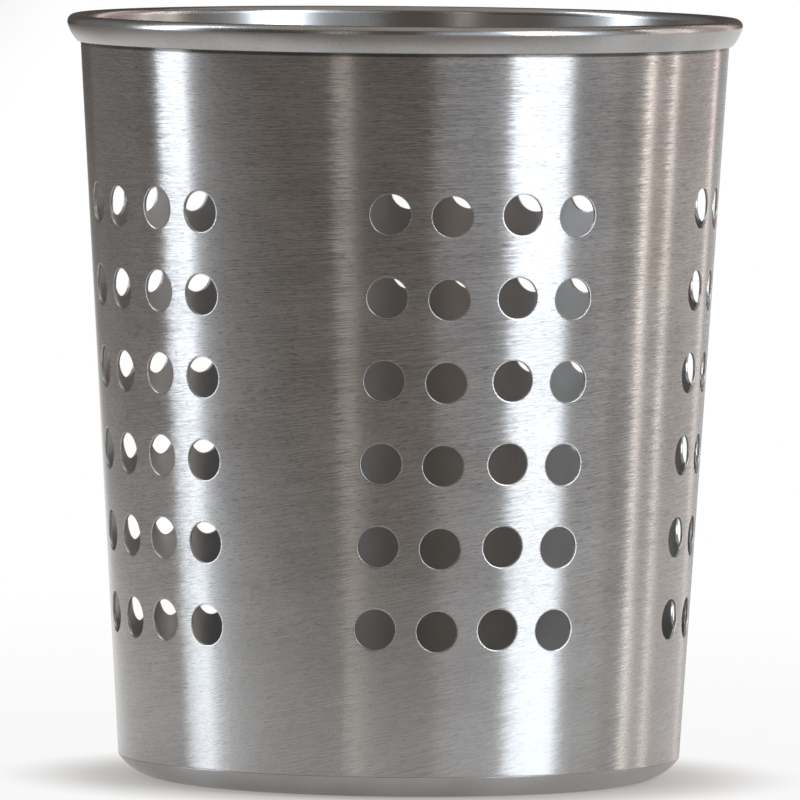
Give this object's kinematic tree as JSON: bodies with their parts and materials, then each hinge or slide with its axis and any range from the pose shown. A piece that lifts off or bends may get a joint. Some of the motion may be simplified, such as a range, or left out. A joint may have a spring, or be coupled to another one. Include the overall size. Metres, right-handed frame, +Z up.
{
  "type": "cutlery holder",
  "caption": "Free-standing tapered steel cup with a curled rim, groups of punched holes and a pressed drain base, for standing cutlery or utensils upright.",
  "frame": {"origin": "on the table, under the middle of the base", "axes": "+Z up along the cup's axis, -Y towards the viewer, with the hole group beside the plain strip as pictured"},
  "size_m": [0.12, 0.12, 0.1355],
  "materials": {
    "wall": "brushed round the outside, smooth and bright on the curled rim and the inside",
    "base": "smooth pressed sheet"
  },
  "bodies": {
    "root": {"perforated_wall": "wall", "base_pan": "base"}
  },
  "joints": []
}
